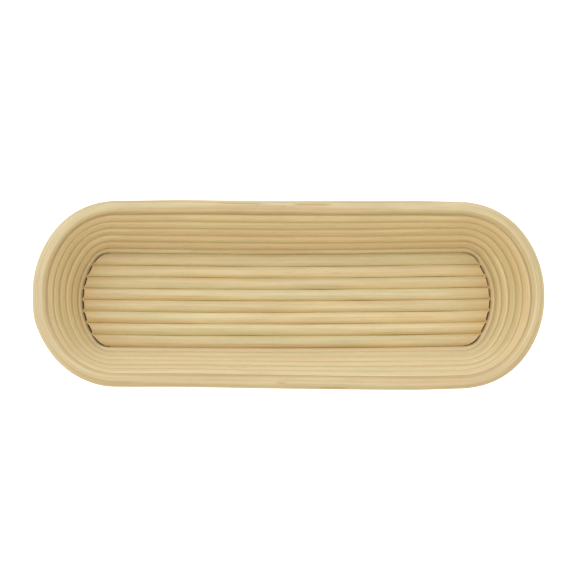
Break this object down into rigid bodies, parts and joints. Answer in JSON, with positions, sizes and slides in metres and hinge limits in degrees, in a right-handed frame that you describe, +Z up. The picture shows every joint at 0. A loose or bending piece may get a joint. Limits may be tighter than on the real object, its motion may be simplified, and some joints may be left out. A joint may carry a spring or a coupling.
{
  "type": "proofing basket",
  "caption": "Long oval bread proofing basket of bent rattan cane: a floor of straight canes inside a flaring wall of stacked cane hoops with a thicker rim, held by staples and nails.",
  "frame": {"origin": "on the table under the middle of the floor", "axes": "+X along the basket's length, +Y across it towards the side with the hoops' seams, +Z up"},
  "size_m": [0.4, 0.1488, 0.0593],
  "materials": {
    "rattan_floor": "smooth peeled rattan core, unfinished",
    "rattan_wall": "smooth peeled rattan core, unfinished",
    "rattan_rim": "smooth peeled rattan core, unfinished",
    "staple_wire": "galvanised flat wire",
    "nail_steel": "bright drawn wire"
  },
  "bodies": {
    "root": {"floor_cane_1": "rattan_floor", "floor_cane_2": "rattan_floor", "floor_cane_3": "rattan_floor", "floor_cane_4": "rattan_floor", "floor_cane_5": "rattan_floor", "floor_cane_6": "rattan_floor", "floor_cane_7": "rattan_floor", "floor_cane_8": "rattan_floor", "wall_hoop_1": "rattan_wall", "wall_hoop_2": "rattan_wall", "wall_hoop_3": "rattan_wall", "wall_hoop_4": "rattan_wall", "wall_hoop_5": "rattan_wall", "wall_hoop_6": "rattan_wall", "rim_hoop": "rattan_rim", "wall_staples_1": "staple_wire", "wall_staples_2": "staple_wire", "wall_staples_3": "staple_wire", "wall_staples_4": "staple_wire", "wall_staples_5": "staple_wire", "wall_staples_6": "staple_wire", "floor_staples_1": "staple_wire", "floor_staples_2": "staple_wire", "floor_staples_3": "staple_wire", "floor_staples_4": "staple_wire", "end_nails_left": "nail_steel", "end_nails_right": "nail_steel", "side_nails_front": "nail_steel", "side_nails_back": "nail_steel"}
  },
  "joints": []
}
